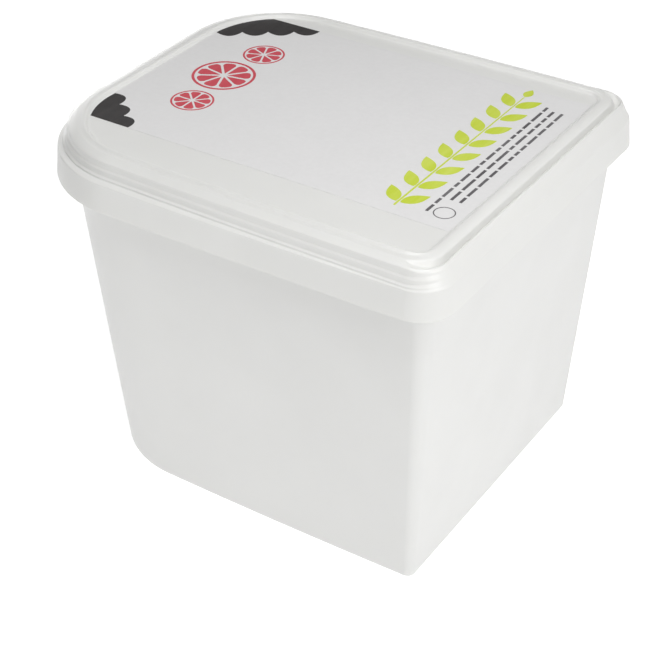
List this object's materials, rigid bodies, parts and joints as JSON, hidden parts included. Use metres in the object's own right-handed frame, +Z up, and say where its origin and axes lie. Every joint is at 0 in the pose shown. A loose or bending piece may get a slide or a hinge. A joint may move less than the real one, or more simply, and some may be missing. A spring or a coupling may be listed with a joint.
{
  "type": "sorbet tub",
  "caption": "Shut catering tub of sorbet in white plastic, with a tapered body rounded at one end, a stepped press-on lid and a printed paper label on top.",
  "frame": {"origin": "middle of the base, under the middle of the lid", "axes": "+Z up, X along the tub's length with the two large rounded corners at -X and the small ones at +X, Y across"},
  "size_m": [0.2188, 0.1926, 0.1739],
  "materials": {
    "tub_plastic": "white moulded plastic with a soft satin gloss",
    "lid_plastic": "white moulded plastic with a soft satin gloss",
    "label_paper": "smooth coated paper, slightly cooler than the plastic"
  },
  "bodies": {
    "root": {"tub": "tub_plastic", "lid": "lid_plastic", "label": "label_paper"}
  },
  "joints": []
}
